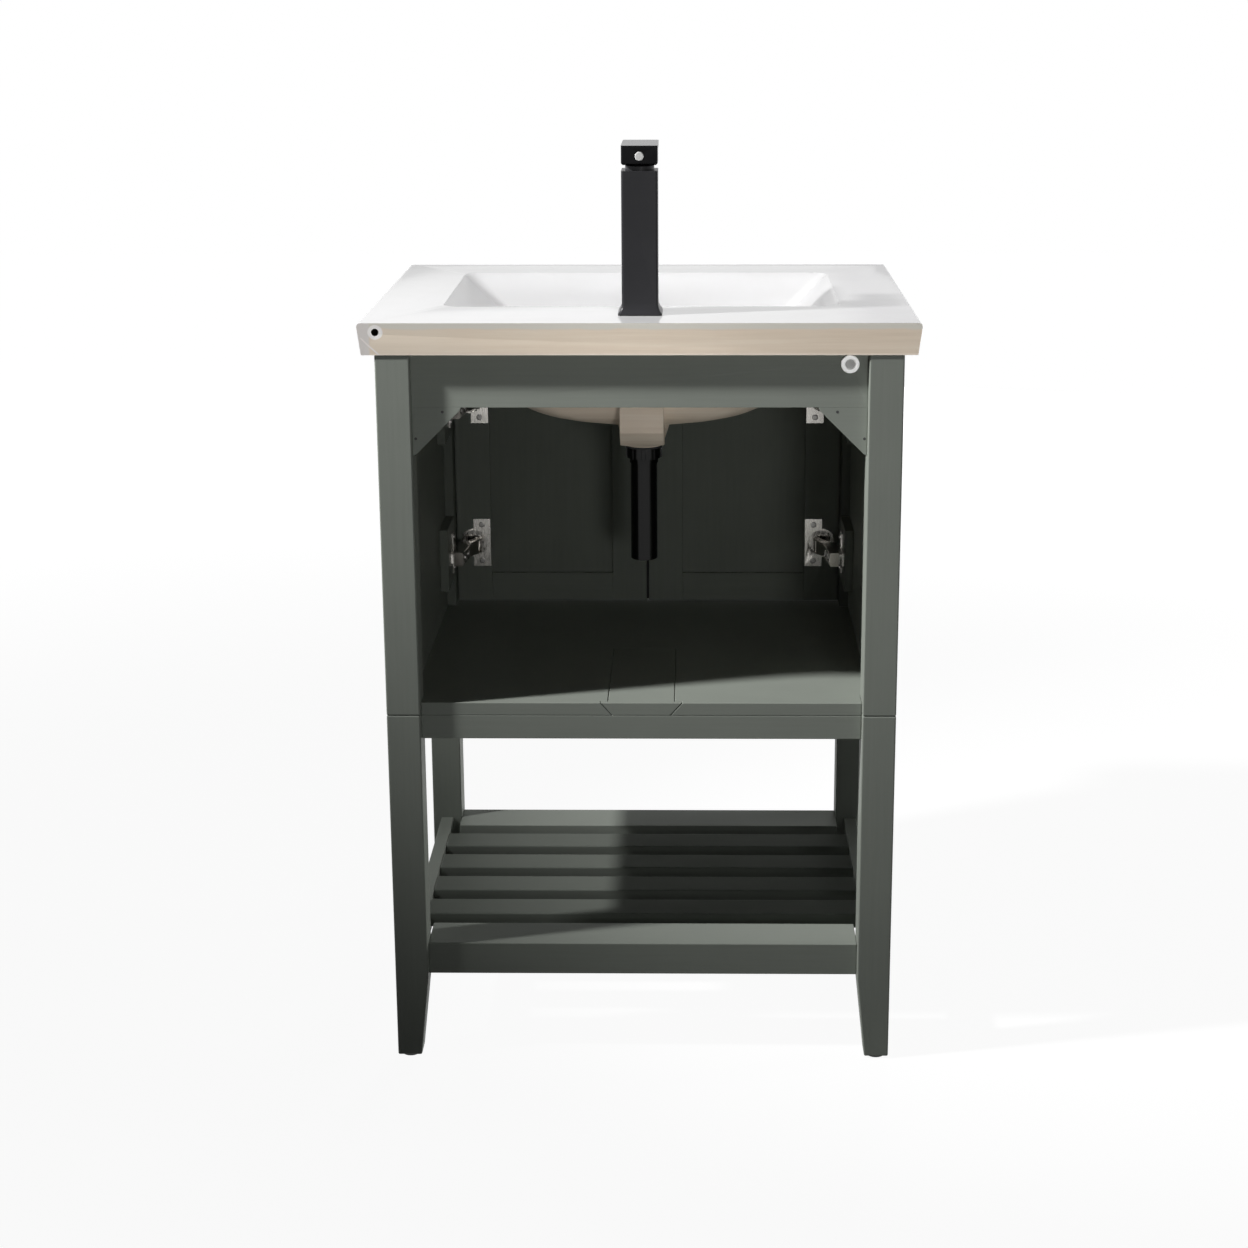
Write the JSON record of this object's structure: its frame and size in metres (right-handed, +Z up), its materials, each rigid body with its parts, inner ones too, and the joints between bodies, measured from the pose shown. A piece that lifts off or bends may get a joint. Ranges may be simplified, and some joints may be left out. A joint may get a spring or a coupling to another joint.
{
  "type": "bathroom vanity unit",
  "caption": "Open-back bathroom vanity: painted wood cabinet with inset doors and slatted shelf on tapered legs, ceramic basin top and single lever faucet.",
  "frame": {"origin": "on the floor, under the middle of the ceramic top", "axes": "+Z up, -Y towards the user in front of the doors, +Y towards the wall behind, +X to the right seen from the front"},
  "size_m": [0.61, 0.47, 1.0548],
  "materials": {
    "painted_wood": "satin grey-green paint over wood, faint grain",
    "bare_wood": "bare beech",
    "glazed_white": "white gloss glaze, bare beige clay on the back edge and underside",
    "black_metal": "matt black coating",
    "nickel": "nickel plated sheet",
    "steel": "plain steel",
    "brass": "raw turned brass",
    "rubber": "matt",
    "white_plastic": "satin white",
    "dark_plastic": "matt"
  },
  "bodies": {
    "cabinet": {"basin_top": "glazed_white", "faucet_body": "black_metal", "faucet_spout": "black_metal", "faucet_aerator": "steel", "faucet_gasket": "rubber", "faucet_cartridge": "white_plastic", "cartridge_nut": "black_metal", "mounting_shank": "brass", "mounting_nut": "brass", "drain_flange_body": "black_metal", "drain_gasket": "rubber", "drain_nut": "black_metal", "drain_tailpiece": "black_metal", "back_left_post": "painted_wood", "back_right_post": "painted_wood", "front_left_post": "painted_wood", "front_right_post": "painted_wood", "back_left_leg": "painted_wood", "back_right_leg": "painted_wood", "front_left_leg": "painted_wood", "front_right_leg": "painted_wood", "leg_dowels": "bare_wood", "foot_glides": "dark_plastic", "back_top_rail": "painted_wood", "back_gussets": "painted_wood", "rail_cap": "white_plastic", "front_top_rail": "painted_wood", "left_side_panel": "painted_wood", "right_side_panel": "painted_wood", "cabinet_floor": "painted_wood", "floor_insert": "painted_wood", "back_bottom_rail": "painted_wood", "front_bottom_rail": "painted_wood", "shelf_back_rail": "painted_wood", "shelf_front_rail": "painted_wood", "shelf_left_rail": "painted_wood", "shelf_right_rail": "painted_wood", "shelf_slats": "painted_wood", "hinge_arms": "nickel", "hinge_plates": "nickel", "hinge_blocks": "painted_wood"},
    "right_links": {"right_hinge_links": "nickel"},
    "right_door": {"right_door_stiles": "painted_wood", "right_door_rails": "painted_wood", "right_door_panel": "painted_wood", "right_door_knob": "black_metal", "right_hinge_cups": "nickel"},
    "left_links": {"left_hinge_links": "nickel"},
    "left_door": {"left_door_stiles": "painted_wood", "left_door_rails": "painted_wood", "left_door_panel": "painted_wood", "left_door_knob": "black_metal", "left_hinge_cups": "nickel"},
    "cartridge_swivel": {"cartridge_carrier": "steel"},
    "handle": {"lever_stem": "steel", "faucet_handle": "black_metal", "handle_plug": "white_plastic", "handle_screw": "steel"},
    "stopper": {"drain_stopper": "black_metal"}
  },
  "joints": [
    {"name": "right_link_swing", "type": "hinge", "parent": "cabinet", "child": "right_links", "pos_m": [0.21786, -0.166, 0.61], "axis": [0, 0, 1], "range_deg": [-32, 0.1]},
    {"name": "right_door_swing", "type": "hinge", "parent": "right_links", "child": "right_door", "pos_m": [0.235, -0.186, 0.61], "axis": [0, 0, 1], "range_deg": [0, 121.5]},
    {"name": "left_link_swing", "type": "hinge", "parent": "cabinet", "child": "left_links", "pos_m": [-0.21786, -0.166, 0.61], "axis": [0, 0, -1], "range_deg": [-32, 0.1]},
    {"name": "left_door_swing", "type": "hinge", "parent": "left_links", "child": "left_door", "pos_m": [-0.235, -0.186, 0.61], "axis": [0, 0, -1], "range_deg": [0, 121.5]},
    {"name": "handle_turn", "type": "hinge", "parent": "cabinet", "child": "cartridge_swivel", "pos_m": [0, 0.163, 1.0158], "axis": [0, 0, 1], "range_deg": [-40, 40]},
    {"name": "handle_lift", "type": "hinge", "parent": "cartridge_swivel", "child": "handle", "pos_m": [0, 0.163, 1.0158], "axis": [-1, 0, 0], "range_deg": [0, 16]},
    {"name": "stopper_lift", "type": "slide", "parent": "cabinet", "child": "stopper", "axis": [0, 0, 1], "range_m": [0, 0.008]}
  ],
  "couplings": [
    {"joint": "right_link_swing", "follows": "right_door_swing", "ratio": -0.25926},
    {"joint": "left_link_swing", "follows": "left_door_swing", "ratio": -0.25926}
  ]
}
